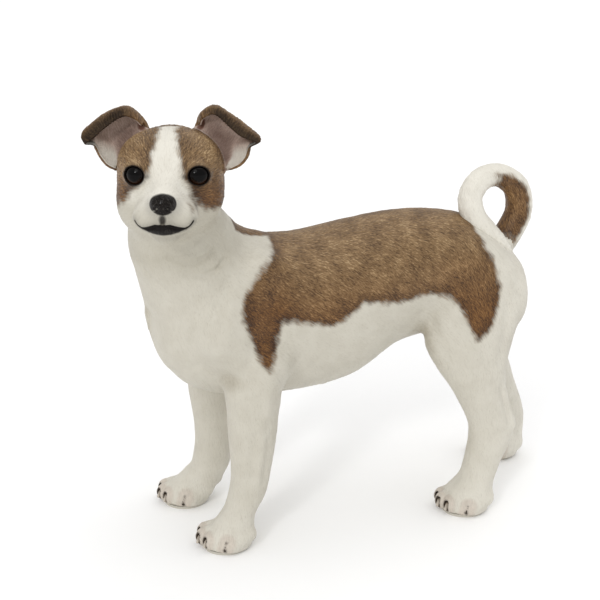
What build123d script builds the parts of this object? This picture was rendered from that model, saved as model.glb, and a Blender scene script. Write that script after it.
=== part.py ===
from build123d import *
import os

# Standing short-haired puppy figurine, cast hollow in parts and pinned together.
# It is drawn in the dog's own frame: x = 0 is the midplane, +X the dog's left, the nose points to
# -Y and the ground is z = 0. The last step moves everything so that the origin is the centre of
# the base of the whole object's box. All lengths are millimetres.

WALL = 6.0  # thickness of the hollow castings
LEG_JOINT_Z = 110.0  # height of the flat joint where each leg meets the body
PAD_THICKNESS = 2.0  # felt under each paw
PAD_MARGIN = 4.0  # how far the felt stays inside the sole
ROD_RADIUS = 2.5  # steel rod through each leg
ROD_FOOT_Z = 14.0
ROD_REACH = 38.0  # how far each rod goes up into the body
DOWEL_RADIUS = 6.0  # wooden dowel in the neck
DOWEL_LENGTH = 52.0
DOWEL_IN_BODY = 30.0
TAIL_DOWEL_RADIUS = 3.5
TAIL_DOWEL_LENGTH = 26.0
CAVITY_TOP_Z = 232.0  # the body is solid above this height
EYE_RADIUS = 8.2
EYE_DOME_DEPTH = 10.0  # from the front of the glass eye to its flat back
EYE_CENTRE = (20.8, -30.5, 10.9)  # the left eye, in the head's own frame
EYE_GAZE = (0.30, -0.95, 0.06)
EAR_THICKNESS = 3.6
# Outline of the left ear from the front, in the head's own frame: x, z. The first three points are
# the crown, then come the tip and the lobe; the last two lie inside the skull.
EAR_OUTLINE = [(20, 43), (29, 49), (40, 49), (54, 41), (65, 30), (56, 20), (44, 11), (30, 8), (14, 27)]
EAR_CUP_CENTRE = (36, -12, 42)
EAR_CUP_RADIUS = 36.0
VENT_RADIUS = 8.0  # casting vent under the belly, closed by a rubber plug
VENT_DEPTH = 10.0
VENT_PLACE = (0, 10, 114.2)

HEAD_CENTRE = Vector(35.8, -115.2, 300)
HEAD_TURN = 70.6  # degrees that the face is turned from -Y towards the dog's left
NECK_JOINT = Vector(20, -98, 262)
NECK_AXIS = Vector(0.30, -0.22, 0.93)

# Body sections across Y: y, lowest z, highest z, half width.
BODY = [
    (-129, 160, 200, 16),
    (-116, 136, 222, 34),
    (-92, 120, 240, 48),
    (-60, 115, 246, 54),
    (-10, 113, 245, 53),
    (35, 119, 251, 51),
    (75, 142, 255, 45),
    (108, 149, 254, 42),
    (142, 142, 245, 44),
    (170, 136, 224, 41),
    (187, 154, 198, 24),
]

# Neck sections along its axis: x, y, z of the centre and the two half widths.
NECK = [
    (2, -86, 200, 46, 52),
    (8, -97, 228, 43, 47),
    (18, -105, 256, 40, 40),
    (27, -110, 280, 35, 29),
]

# Leg sections at falling heights: z, centre y, half length along Y, half width along X, centre x.
LEGS = {
    "front_left": {
        "upper": [(192, -74, 30, 14, 36), (150, -66, 29, 19, 42)],
        "lower": [
            (LEG_JOINT_Z, -59.5, 20.5, 17, 44),
            (81, -60, 18.5, 15, 44),
            (55, -63.5, 16.5, 14, 44),
            (38, -68, 15.5, 14.5, 44),
            (26, -74, 16.5, 16, 44),
        ],
        "paw": (44, -83, 21),
        "rod": (44, -64),
    },
    "front_right": {
        "upper": [(192, -78, 30, 14, -36), (150, -73, 29, 19, -42)],
        "lower": [
            (LEG_JOINT_Z, -68, 21, 17, -44),
            (81, -68.5, 18.5, 15, -44),
            (55, -69.5, 17.5, 14, -44),
            (38, -72, 18, 14.5, -44),
            (26, -82, 20, 16, -44),
        ],
        "paw": (-43, -97, 22),
        "rod": (-44, -72),
    },
    "rear_left": {
        "upper": [(205, 142, 30, 12, 32), (170, 134, 42, 20, 34), (140, 130, 35, 23, 39)],
        "lower": [
            (LEG_JOINT_Z, 134, 24, 20, 44),
            (94, 141, 21.5, 17, 45),
            (77, 148.5, 21.5, 15, 46),
            (58, 146, 19.5, 14, 46),
            (40, 140, 17, 14.5, 46),
            (28, 135, 17.5, 16, 46),
        ],
        "paw": (46, 126, 21),
        "rod": (46, 140),
    },
    "rear_right": {
        "upper": [(205, 148, 30, 12, -32), (170, 152, 40, 20, -34), (140, 161, 35, 23, -39)],
        "lower": [
            (LEG_JOINT_Z, 182, 24, 20, -44),
            (94, 193, 22, 17, -45),
            (77, 200, 21, 15, -46),
            (58, 205, 20, 14, -46),
            (40, 209, 19, 14.5, -46),
            (28, 208, 20, 16, -46),
        ],
        "paw": (-46, 202, 21),
        "rod": (-45, 196),
    },
}
SOLE_HALF_LENGTH = 22.0
SOLE_SHOULDER_Z = 13.0  # height of the widest section of a paw
SOLE_DRAFT = 2.0  # how much narrower the sole is than the paw
TOE_RADIUS = 8.0
TOES = [(-14, -11, 0.92), (-5, -16.5, 1.0), (5, -16.5, 1.0), (14, -11, 0.92)]  # x, y and size

# The tail curls up, forward over the croup and down on its left side: x, y, z and radius.
TAIL = [
    (-3, 166, 206, 12),
    (-3, 176, 220, 12),
    (-4, 190, 246, 11.6),
    (-4, 186, 266, 10.8),
    (-2, 168, 278, 9.6),
    (3, 149, 276, 9.8),
    (7, 139.5, 262, 10.2),
    (11, 141, 247, 10),
    (14, 151, 234, 8.4),
    (16, 162, 224.5, 5),
    (16.5, 171, 218, 1.6),
]
TAIL_JOINT = Vector(-3.5, 185, 235)
TAIL_AXIS = Vector(0, 0.41, 0.91)
STUMP_FRONT_Y = 161.0  # the part of the tail that is cast with the body lies behind this
STUMP_LEFT_X = 10.0  # and to the right of this

# The head in its own frame, with the face towards -Y.
SKULL = ((-1, 6, 1.5), (41, 45, 39.5))
CHEEKS = ((-1, -10, -13), (39, 34, 25))
MUZZLE = [(-30, -10, 28, 26), (-47, -14, 22, 20), (-60, -14, 18.5, 17), (-67, -11, 13, 12)]
HEAD_CAVITY = ((0, 8, 3), (35, 30, 33.5))
FAR = 900.0  # more than twice the size of the figurine


def ellipsoid(centre, radii):
    return Pos(*centre) * scale(Sphere(1), by=radii)


def body_solid(inset):
    """The barrel of the body, shrunk by inset on every side."""
    sections = []
    for y, low, high, half_width in BODY[1:-1] if inset else BODY:
        plane = Plane(origin=(0, y, (low + high) / 2), x_dir=(1, 0, 0), z_dir=(0, 1, 0))
        sections.append(plane * Ellipse(half_width - inset, (high - low) / 2 - inset))
    return loft(sections)


def neck_solid(inset):
    sections = []
    for x, y, z, half_x, half_y in NECK:
        plane = Plane(origin=(x, y, z), x_dir=(0.95, 0, -0.30), z_dir=NECK_AXIS)
        sections.append(plane * Ellipse(half_x - inset, half_y - inset))
    return loft(sections)


def level_sections(rows):
    return [Pos(x, y, z) * Ellipse(half_x, half_y) for z, y, half_y, half_x, x in rows]


def leg_solid(leg):
    """One leg from the flat joint down to its sole, with a paw of four toes."""
    x, y, half_width = leg["paw"]
    paw_rows = [
        (SOLE_SHOULDER_Z, y, SOLE_HALF_LENGTH, half_width, x),
        (PAD_THICKNESS, y, SOLE_HALF_LENGTH - SOLE_DRAFT, half_width - SOLE_DRAFT, x),
    ]
    solid = loft(level_sections(leg["lower"] + paw_rows))
    for across, along, size in TOES:
        radius = TOE_RADIUS * size
        solid += Pos(x + across, y + along, PAD_THICKNESS + radius) * Sphere(radius)
    return solid


def tail_solid():
    sections = []
    for i, (x, y, z, radius) in enumerate(TAIL):
        before = Vector(*TAIL[max(i - 1, 0)][:3])
        after = Vector(*TAIL[min(i + 1, len(TAIL) - 1)][:3])
        plane = Plane(origin=(x, y, z), x_dir=(1, 0, 0.01), z_dir=after - before)
        sections.append(plane * Circle(radius))
    return loft(sections)


def head_place():
    """Where the head's own frame (face towards -Y) lies in the dog's frame."""
    return Pos(*HEAD_CENTRE) * Rot(0, 0, HEAD_TURN)


def head_solid():
    """Skull, cheeks and muzzle in the head's own frame."""
    muzzle = loft(
        [
            Plane(origin=(0, y, z), x_dir=(1, 0, 0), z_dir=(0, -1, 0)) * Ellipse(half_x, half_z)
            for y, z, half_x, half_z in MUZZLE
        ]
    )
    return ellipsoid(*SKULL) + ellipsoid(*CHEEKS) + muzzle


def ear_solid():
    """The left ear: the part of a thin round cup that lies within the ear's outline."""
    cup = Sphere(EAR_CUP_RADIUS) - Sphere(EAR_CUP_RADIUS - EAR_THICKNESS)
    front = EAR_CUP_CENTRE[1]
    outline = Spline([Vector(x, front, z) for x, z in EAR_OUTLINE], periodic=True)
    prism = extrude(Face(Wire([outline])), EAR_CUP_RADIUS + 1, dir=(0, 1, 0))
    return (Pos(*EAR_CUP_CENTRE) * cup) & prism


def eye_solid(side):
    """A glass dome: a ball cut flat behind, looking slightly outwards."""
    direction = Vector(side * EYE_GAZE[0], EYE_GAZE[1], EYE_GAZE[2])
    centre = Vector(side * EYE_CENTRE[0], EYE_CENTRE[1], EYE_CENTRE[2])
    ball = Sphere(EYE_RADIUS)
    back = Pos(0, 0, -EYE_RADIUS + (EYE_RADIUS * 2 - EYE_DOME_DEPTH) / 2) * Box(
        EYE_RADIUS * 2, EYE_RADIUS * 2, EYE_RADIUS * 2 - EYE_DOME_DEPTH
    )
    return Plane(origin=centre, z_dir=direction) * (ball - back)


def pad_solid(leg):
    x, y, half_width = leg["paw"]
    outline = Pos(x, y, 0) * Ellipse(half_width - PAD_MARGIN, SOLE_HALF_LENGTH - PAD_MARGIN)
    return extrude(outline, PAD_THICKNESS)


def half_space(point, axis):
    """A block that covers everything on the axis side of a plane."""
    return Plane(origin=point, z_dir=axis) * Pos(0, 0, FAR / 2) * Box(FAR, FAR, FAR)


def peg(start, axis, radius, length):
    bottom = (Align.CENTER, Align.CENTER, Align.MIN)
    return Plane(origin=start, z_dir=axis) * Cylinder(radius, length, align=bottom)


def build_parts():
    up = Vector(0, 0, 1)
    head_frame = head_place()
    head = head_frame * head_solid()
    neck = neck_solid(0)
    above_neck_joint = half_space(NECK_JOINT, NECK_AXIS)
    stump_room = half_space(TAIL_JOINT, TAIL_AXIS * -1)
    stump_room &= half_space(Vector(0, STUMP_FRONT_Y, 0), Vector(0, 1, 0))
    stump_room &= half_space(Vector(STUMP_LEFT_X, 0, 0), Vector(-1, 0, 0))
    tail = tail_solid()

    outer = body_solid(0) + (neck - above_neck_joint)
    for leg in LEGS.values():
        outer += loft(level_sections(leg["upper"] + leg["lower"][:1]))
    outer += tail & stump_room
    cavity = body_solid(WALL) - half_space(Vector(0, 0, CAVITY_TOP_Z), up)

    parts = {}
    neck_dowel = peg(NECK_JOINT - NECK_AXIS * DOWEL_IN_BODY, NECK_AXIS, DOWEL_RADIUS, DOWEL_LENGTH)
    tail_dowel = peg(
        TAIL_JOINT - TAIL_AXIS * (TAIL_DOWEL_LENGTH / 2), TAIL_AXIS, TAIL_DOWEL_RADIUS, TAIL_DOWEL_LENGTH
    )
    vent = peg(VENT_PLACE, up, VENT_RADIUS, VENT_DEPTH)

    head_skin = head + (neck & above_neck_joint)
    eyes = {"left_eye": head_frame * eye_solid(1), "right_eye": head_frame * eye_solid(-1)}
    ear = ear_solid()
    ears = {"left_ear": head_frame * ear, "right_ear": head_frame * mirror(ear, about=Plane.YZ)}
    head_shell = head_skin - head_frame * ellipsoid(*HEAD_CAVITY) - neck_dowel
    for name, eye in eyes.items():
        parts[name] = eye
        head_shell -= eye
    for name, ear in ears.items():
        parts[name] = ear - head_skin
    parts["head_shell"] = head_shell
    parts["neck_dowel"] = neck_dowel

    torso = outer - head_skin - cavity - neck_dowel - vent - tail_dowel
    parts["tail"] = tail - stump_room - outer - tail_dowel
    parts["tail_dowel"] = tail_dowel

    for name, leg in LEGS.items():
        rod = peg((*leg["rod"], ROD_FOOT_Z), up, ROD_RADIUS, LEG_JOINT_Z + ROD_REACH - ROD_FOOT_Z)
        torso -= rod
        parts[f"{name}_leg"] = leg_solid(leg) - rod
        parts[f"{name}_rod"] = rod
        parts[f"{name}_pad"] = pad_solid(leg)
    parts["torso_shell"] = torso
    parts["vent_plug"] = vent
    return parts


def main():
    os.makedirs("parts", exist_ok=True)
    parts = build_parts()
    box = Compound(children=[Compound(p.wrapped) for p in parts.values()]).bounding_box()
    shift = Pos(-(box.min.X + box.max.X) / 2, -(box.min.Y + box.max.Y) / 2, -box.min.Z)
    for name, shape in parts.items():
        export_step(shift * shape, f"parts/{name}.step")
    print("size", box.size, "moved by", shift.position)


main()
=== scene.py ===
from math import cos, pi, radians, sin

import bpy
import numpy as np
from mathutils import Matrix, Vector


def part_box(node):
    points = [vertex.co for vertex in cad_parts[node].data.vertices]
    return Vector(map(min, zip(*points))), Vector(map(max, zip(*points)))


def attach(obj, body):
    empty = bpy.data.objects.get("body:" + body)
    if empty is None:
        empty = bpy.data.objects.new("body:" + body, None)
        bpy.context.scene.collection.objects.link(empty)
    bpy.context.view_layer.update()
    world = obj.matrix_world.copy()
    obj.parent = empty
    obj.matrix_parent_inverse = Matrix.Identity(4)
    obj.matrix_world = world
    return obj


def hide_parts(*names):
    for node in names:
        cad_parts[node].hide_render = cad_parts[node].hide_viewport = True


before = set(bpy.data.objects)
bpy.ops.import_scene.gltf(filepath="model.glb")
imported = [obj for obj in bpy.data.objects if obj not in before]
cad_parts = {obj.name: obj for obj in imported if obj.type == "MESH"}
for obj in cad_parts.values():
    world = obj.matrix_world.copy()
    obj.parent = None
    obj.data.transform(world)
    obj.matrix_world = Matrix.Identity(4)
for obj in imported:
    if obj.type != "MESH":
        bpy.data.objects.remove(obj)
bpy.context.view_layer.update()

# The figurine is sculpted as one distance field, meshed piece by piece and cut at the casting
# joints. Sculpting is in millimetres in the dog's own frame: x = 0 is the midplane, +X the dog's
# left, the nose points to -Y and z = 0 is the ground. FRAME_SHIFT moves that frame into the CAD's.

PAWS = {
    "front_left": (44, -83),
    "front_right": (-43, -97),
    "rear_left": (46, 126),
    "rear_right": (-46, 202),
}
pad_low, pad_high = (np.array(corner) * 1000 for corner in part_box("front_left_pad"))
FRAME_SHIFT = (pad_low + pad_high) / 2 - np.array([*PAWS["front_left"], 0.0])
FRAME_SHIFT[2] = 0.0
SOLE_Z = pad_high[2]
LEG_JOINT_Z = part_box("front_left_leg")[1].z * 1000
COARSE = 1.0  # multiplies every mesh spacing


# ---------- distance functions
def smooth_min(a, b, blend):
    h = np.clip(0.5 + 0.5 * (b - a) / blend, 0.0, 1.0)
    return b * (1 - h) + a * h - blend * h * (1 - h)


def smooth_max(a, b, blend):
    return -smooth_min(-a, -b, blend)


def smooth_step(low, high, x):
    t = np.clip((x - low) / (high - low), 0.0, 1.0)
    return t * t * (3 - 2 * t)


def unit(vectors):
    return vectors / np.maximum(np.linalg.norm(vectors, axis=-1, keepdims=True), 1e-9)


def ellipsoid(points, centre, radii):
    q = (points - np.array(centre, float)) / np.array(radii, float)
    near = np.linalg.norm(q, axis=1) + 1e-9
    steep = np.linalg.norm(q / np.array(radii, float), axis=1) + 1e-9
    return near * (near - 1) / steep


def capsule(points, a, b, radius_a, radius_b):
    """Round cone between two points."""
    a, b = np.array(a, float), np.array(b, float)
    ab = b - a
    t = np.clip((points - a) @ ab / (ab @ ab), 0.0, 1.0)
    return np.linalg.norm(points - a - t[:, None] * ab, axis=1) - radius_a - (radius_b - radius_a) * t


def chain(points, knots, blend=0.0):
    """Tube through knots (x, y, z, radius)."""
    total = None
    for first, second in zip(knots[:-1], knots[1:]):
        d = capsule(points, first[:3], second[:3], first[3], second[3])
        if total is None:
            total = d
        else:
            total = smooth_min(total, d, blend) if blend else np.minimum(total, d)
    return total


def curve(x, knots, values):
    """Smooth curve through values at knots, level outside them."""
    knots, values = np.array(knots, float), np.array(values, float)
    slope = np.gradient(values, knots, axis=0)
    x = np.clip(x, knots[0], knots[-1])
    i = np.clip(np.searchsorted(knots, x) - 1, 0, len(knots) - 2)
    step = knots[i + 1] - knots[i]
    t = (x - knots[i]) / step
    if values.ndim > 1:
        t, step = t[:, None], step[:, None]
    return (
        values[i] * (1 + 2 * t) * (1 - t) ** 2
        + slope[i] * step * t * (1 - t) ** 2
        + values[i + 1] * t * t * (3 - 2 * t)
        - slope[i + 1] * step * t * t * (1 - t)
    )


def resample(rows, count):
    rows = np.array(rows, float)
    steps = np.linalg.norm(np.diff(rows[:, :3], axis=0), axis=1)
    along = np.concatenate([[0], np.cumsum(steps)])
    return curve(np.linspace(0, along[-1], count), along, rows)


def turned(points, centre, degrees):
    """Points in a frame at centre that is turned about Z by degrees."""
    c, s = cos(radians(degrees)), sin(radians(degrees))
    p = points - np.array(centre, float)
    return np.stack([c * p[:, 0] + s * p[:, 1], -s * p[:, 0] + c * p[:, 1], p[:, 2]], 1)


def mirrored(points):
    return np.concatenate([np.abs(points[:, :1]), points[:, 1:]], 1)


def within(function, points, low, high, far=60.0):
    """The function where points lie in a box, and far outside it."""
    out = np.full(len(points), far)
    inside = ((points > np.array(low)) & (points < np.array(high))).all(1)
    if inside.any():
        out[inside] = function(points[inside])
    return out


def polygon_distance(x, y, corners):
    """Signed distance to a polygon in a plane, positive inside."""
    near = np.full(len(x), 1e9)
    inside = np.zeros(len(x), bool)
    for (ax, ay), (bx, by) in zip(corners, corners[1:] + corners[:1]):
        ex, ey = bx - ax, by - ay
        wx, wy = x - ax, y - ay
        t = np.clip((wx * ex + wy * ey) / (ex * ex + ey * ey), 0, 1)
        near = np.minimum(near, np.hypot(wx - t * ex, wy - t * ey))
        inside ^= ((ay > y) != (by > y)) & (wx < ex * wy / (ey if ey else 1e-9))
    return np.where(inside, near, -near)


# ---------- the body
# Barrel stations across Y: y, lowest z, highest z, half width.
BODY = [
    (-131, 176, 184, 2),
    (-126, 158, 204, 20),
    (-112, 136, 226, 37),
    (-88, 120, 241, 49),
    (-58, 115, 245, 54),
    (-10, 113, 244, 53),
    (35, 121, 250.5, 51),
    (75, 144, 255, 45),
    (106, 149, 254, 42),
    (142, 143, 245, 44),
    (166, 138, 227.5, 41),
    (184, 152, 206, 28),
    (192, 172, 186, 3),
]
NECK = [(2, -80, 190, 49), (5, -92, 222, 44), (14, -107, 250, 36.5), (25, -116.5, 272, 30.5)]
NAPE = [(15, -83, 240.5, 20.5), (8, -54, 227, 22)]
# Shoulder blade, point of the shoulder, elbow and forearm: x, y, z, radius, for each side.
SHOULDERS = {
    1: [(34, -48, 226, 14), (41, -80, 184, 23), (46, -51, 152, 18), (44.5, -58, 128, 18)],
    -1: [(-34, -52, 226, 14), (-41, -84, 184, 23), (-46, -60, 152, 18), (-44.5, -66, 128, 18)],
}
# Leg sections at falling heights: z, half width and distance from the midplane.
LEG_SECTIONS = {
    "front": [
        (112, 17.5, 44), (95, 16, 44), (81, 15, 44), (66, 14.2, 44), (52, 14.3, 44), (42, 14.8, 44),
        (32, 14.8, 44), (20, 16, 44),
    ],
    "rear": [
        (215, 14, 24), (195, 17, 28), (172, 19, 33), (150, 20, 37), (130, 20, 41), (112, 18.5, 44),
        (94, 16.5, 45), (77, 14.5, 46), (66, 13.8, 46), (54, 13.5, 46), (42, 14, 46), (30, 15.5, 46),
        (20, 17, 46),
    ],
}
# Centre y and half length of each section, leg by leg.
LEG_LENGTHS = {
    "front_left": [
        (-59.5, 20.5), (-60, 19.5), (-60.5, 18), (-61.5, 16.3), (-63.3, 15.3), (-66, 14.7),
        (-70.5, 13.5), (-76.5, 14.5),
    ],
    "front_right": [
        (-71, 21), (-70.6, 19.5), (-70, 18), (-70, 16.7), (-70.8, 16), (-72, 16.2), (-74, 17),
        (-82, 18.5),
    ],
    "rear_left": [
        (144, 28), (140, 37), (135.5, 41.5), (129, 39), (130, 31), (135, 24), (142, 21), (148.5, 20.5),
        (148, 19.5), (145, 18), (141, 16), (137, 15.5), (131, 19),
    ],
    "rear_right": [
        (146, 28), (147, 36), (150, 40), (159, 36), (168, 29), (176.5, 24), (188.5, 21), (196, 19.8),
        (201.5, 18.5), (206.5, 18.2), (210, 18), (210, 18.5), (206, 22),
    ],
}
LEGS = {}  # sections of each leg: z, centre y, half length, half width, centre x
for leg_name, lengths in LEG_LENGTHS.items():
    end, side = leg_name.split("_")
    outward = 1 if side == "left" else -1
    LEGS[leg_name] = [
        (z, y, long, wide, outward * x) for (z, wide, x), (y, long) in zip(LEG_SECTIONS[end], lengths)
    ]

TOES = [(-13, -13.5), (-4.5, -16.5), (4.5, -13), (13.8, 2)]  # each paw points a little to the left
# The tail's centre line and radius, from inside the croup round the loop to the tip.
TAIL = [
    (-3, 156, 200, 12),
    (-3, 168, 212, 12),
    (-3.5, 182, 229, 11.6),
    (-4, 190, 247, 11.4),
    (-4, 186, 266, 10.8),
    (-2, 168, 278, 9.6),
    (3, 149, 276, 9.8),
    (7, 138.5, 262, 10),
    (11, 141, 247, 10.2),
    (14, 151.5, 234.5, 9.4),
    (16.5, 163, 225, 6.4),
    (17.5, 173, 216.5, 1.8),
]
TAIL_LINE = resample(TAIL, 34)
TAIL_JOINT = 8.6  # the tail's casting joint, counted in steps of TAIL_LINE
TAIL_ROOT_STEPS = 13
TAIL_CUT_REACH = 17  # the joint cuts nothing further than this from the tail's line


def barrel(points):
    rows = np.array(BODY, float)
    y = points[:, 1]
    low, high, wide = curve(y, rows[:, 0], rows[:, 1:]).T
    wide = np.maximum(wide, 1.0)
    tall = np.maximum((high - low) / 2, 1.0)
    up = (points[:, 2] - (high + low) / 2) / tall
    across = points[:, 0] / (wide * (1 + 0.06 * np.clip(up, -1, 1)))
    d = (np.sqrt(across**2 + up**2) - 1) * np.minimum(wide, tall)
    return np.maximum(d, np.maximum(rows[0, 0] - y, y - rows[-1, 0]))


def column(points, rows, top, bottom):
    """Leg of level elliptical sections."""
    rows = np.array(rows[::-1], float)
    cy, ry, rx, cx = curve(points[:, 2], rows[:, 0], rows[:, 1:]).T
    d = (np.hypot((points[:, 0] - cx) / rx, (points[:, 1] - cy) / ry) - 1) * np.minimum(rx, ry)
    return smooth_max(smooth_max(d, points[:, 2] - top, 10), bottom - points[:, 2], 6)


def claws(q, swell=0.0):
    """The claws, or with swell the sockets that they grow from."""
    d = None
    for tx, ty in TOES:
        root, tip = (tx + 1.0, ty - 4.2, 8.4 + swell), (tx + 1.7, ty - 6.6, 5.2)
        claw = capsule(q, root, tip, 2.2 + swell, 1.4 + swell)
        d = claw if d is None else np.minimum(d, claw)
    return d


def paw(points, x, y):
    q = points - np.array([x, y, 0.0])
    mass = ellipsoid(q, (0, 2, 6), (19.8, 19, 13.5))
    mass = smooth_min(mass, capsule(q, (0, 9, 17), (0, -4, 9.5), 13, 11), 5)
    toes = None
    for tx, ty in TOES:
        toe = capsule(q, (tx * 0.74, ty + 13, 12.5), (tx, ty, 8.0), 7.0, 7.6)
        toes = toe if toes is None else smooth_min(toes, toe, 0.8)
    d = smooth_min(mass, toes, 2.0)
    d = smooth_max(d, -claws(q, 1.0), 0.8)
    d = np.minimum(d, claws(q))
    return smooth_max(d, SOLE_Z - points[:, 2], 1.2)


def leg(points, name):
    top = 212 if name.startswith("rear") else 140
    x, y = PAWS[name]
    return smooth_min(column(points, LEGS[name], top, 14), paw(points, x, y), 6)


def body(points):
    """Everything but the head, the ears and the tail's loop."""
    neck = within(
        lambda p: smooth_min(chain(p, NECK, 12), chain(p, NAPE), 6), points, (-90, -190, 90), (100, 20, 340)
    )
    d = smooth_min(barrel(points), neck, 12)
    for side, knots in SHOULDERS.items():
        low, high = ((0, -140, 85), (95, 0, 262)) if side > 0 else ((-95, -140, 85), (0, 0, 262))
        d = smooth_min(d, within(lambda p: chain(p, knots, 10), points, low, high), 12)
    for name in LEGS:
        x, y = PAWS[name]
        low = (min(x * 2.2, 0), y - 60, -20)
        high = (max(x * 2.2, 0), y + 75, 175)
        if name.startswith("rear"):
            low, high = (low[0], 60, -20), (high[0], 260, 240)
        d = smooth_min(d, within(lambda p: leg(p, name), points, low, high), 9)
    root = within(lambda p: chain(p, TAIL_LINE[:TAIL_ROOT_STEPS]), points, (-40, 120, 160), (40, 240, 320))
    return smooth_min(d, root, 7)


def nearest_step(points, line):
    """How far along a line the nearest place is, in steps, and how far away it is."""
    near = np.full(len(points), 1e9)
    step = np.zeros(len(points))
    for i, (a, b) in enumerate(zip(line[:-1], line[1:])):
        t = np.clip((points - a) @ (b - a) / ((b - a) @ (b - a)), 0, 1)
        d = np.linalg.norm(points - a - t[:, None] * (b - a), axis=1)
        step = np.where(d < near, i + t, step)
        near = np.minimum(near, d)
    return step, near


def tail_step(points):
    return nearest_step(points, TAIL_LINE[:, :3])[0]


def tail(points):
    return chain(points, TAIL_LINE)


# ---------- folds and muscles
# Soft grooves (depth below zero) and ridges: depth, half width and the path as (x, y, z).
FOLDS = [
    (-2.2, 2.4, [(52, -124, 246), (56, -108, 240), (50, -90, 248)]),
    (-2.2, 2.2, [(54, -112, 232), (56, -97, 230), (48, -80, 240)]),
    (-1.6, 2.6, [(30, -146, 240), (36, -142, 226), (44, -130, 216)]),
    (1.4, 4.5, [(60, -100, 255), (52, -86, 236), (44, -74, 226)]),
    (-1.3, 5.0, [(58, -78, 226), (62, -92, 205), (60, -100, 182)]),
    (-1.6, 5.0, [(64, -62, 176), (66, -68, 158), (64, -80, 146)]),
    (1.5, 6.0, [(62, -78, 214), (66, -84, 190), (62, -92, 170)]),
    (-1.5, 4.0, [(62, -44, 150), (62, -36, 138), (56, -34, 128)]),
    (1.6, 5.0, [(62, -52, 140), (60, -54, 128), (58, -54, 118)]),
    (-1.0, 4.0, [(46, -108, 150), (34, -118, 140), (22, -118, 132)]),
    (-1.4, 3.5, [(8, -130, 190), (10, -126, 166), (14, -120, 142)]),
    (-1.6, 5.0, [(50, 84, 176), (56, 94, 158), (58, 100, 140)]),
    (1.4, 7.0, [(52, 110, 190), (60, 116, 168), (62, 124, 146)]),
    (-1.4, 5.0, [(50, 158, 180), (56, 156, 160), (58, 150, 140)]),
    (-1.3, 3.2, [(60, 150, 112), (61, 156, 94), (60, 160, 80)]),
    (1.2, 3.6, [(58, 160, 108), (60, 165, 90), (58, 168, 76)]),
    (-1.0, 3.6, [(60, -62, 100), (60, -64, 80), (60, -66, 62)]),
    (-0.9, 3.2, [(60, -50, 92), (59, -52, 72), (58, -54, 56)]),
    (1.0, 4.0, [(59, -58, 108), (59, -57, 84), (58, -60, 60)]),
]


def on_body(path, side):
    """A path of points moved onto the body's surface on one side, with no radius."""
    places = resample([(side * x, y, z, 0) for x, y, z in path], 8)[:, :3]
    for _ in range(6):
        slope = np.stack([body(places + step) - body(places - step) for step in np.eye(3) * 0.5], 1)
        places = places - body(places)[:, None] * unit(slope)
    return np.column_stack([places, np.zeros(len(places))])


FOLD_PATHS = [(depth, wide, on_body(path, side)) for depth, wide, path in FOLDS for side in (1, -1)]


def folds(points):
    """How far the skin's folds and muscles lie out from the plain body."""
    total = np.zeros(len(points))
    for depth, wide, rows in FOLD_PATHS:
        low, high = rows[:, :3].min(0) - 2.6 * wide, rows[:, :3].max(0) + 2.6 * wide
        near = within(lambda p: chain(p, rows), points, low, high, 99.0)
        total += depth * np.exp(-((near / wide) ** 2))
    return total


def folded_body(points):
    return body(points) - folds(points)


# ---------- the head
HEAD_CENTRE = (35.8, -115.2, 300.0)
HEAD_TURN = 70.6
NECK_JOINT = np.array([20.0, -98.0, 262.0])
NECK_AXIS = unit(np.array([0.30, -0.22, 0.93]))
EYE = np.array([20.8, -28.5, 10.9])
EYE_RADIUS = 8.8
GAZE = unit(np.array([0.30, -0.95, 0.06]))
GAZE_SIDE = unit(np.cross(GAZE, [0, 0, 1.0]))
GAZE_UP = np.cross(GAZE_SIDE, GAZE)


def head_local(points):
    return turned(points, HEAD_CENTRE, HEAD_TURN)


def eye_frame(m):
    r = m - EYE
    return r @ GAZE_SIDE, r @ GAZE_UP, r @ GAZE


def eye_opening(u, v):
    """Distance outside the opening between the lids."""
    return (np.hypot(u / 7.3, v / 6.4) - 1) * 6.8


NOSE = np.array([0.4, -58.5, -3.8])
NOSE_RADII = np.array([7.9, 7.0, 7.6])
SKULL_SIDE = np.array([-1.7, 0, 0])  # the skull's masses lie a little to one side of the features


def nose(q):
    m = mirrored(q - [NOSE[0], 0, 0])
    d = ellipsoid(m, (0, NOSE[1] - 1.2, NOSE[2]), NOSE_RADII)
    d = smooth_min(d, ellipsoid(m, (4.3, NOSE[1] - 0.2, NOSE[2] + 0.6), (4.0, 5.4, 4.6)), 2.5)
    d = smooth_max(d, -ellipsoid(m, (3.9, -66.4, -5.4), (1.8, 2.8, 1.6)), 1.0)
    d = smooth_max(d, -capsule(m, (4.6, -65, -6.6), (7.8, -61.5, -8.0), 0.9, 0.7), 0.8)
    return smooth_max(d, -capsule(m, (0, -67.5, -3.0), (0, -65.5, -10.5), 0.5, 0.8), 0.8)


def bare_face(q):
    """Skull, cheeks, muzzle and jaw, before the eyes, nose and mouth."""
    m = mirrored(q)
    k = mirrored(q - SKULL_SIDE)
    d = ellipsoid(k, (0, 6, 2), (37.8, 42, 37.5))
    d = smooth_min(d, ellipsoid(k, (15.5, -8, 16), (19.5, 22, 18)), 12)
    d = smooth_min(d, ellipsoid(k, (17.5, -5, -12.5), (18.5, 26, 21)), 13)
    d = smooth_min(d, ellipsoid(q, (-18.5, -7, -18.5), (18.5, 22, 17.5)), 10)
    d = smooth_min(d, capsule(q, (0, -20, -13), (0, -47, -13), 23, 17), 12)
    d = smooth_min(d, ellipsoid(m, (9.5, -46, -15), (13.5, 14.5, 10.5)), 5)
    d = smooth_min(d, capsule(q, (0, -25, 7), (0, -56, -2), 10, 7.5), 8)
    return smooth_min(d, capsule(q, (0, -20, -26), (0, -44, -27.5), 15, 9), 6)


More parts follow.
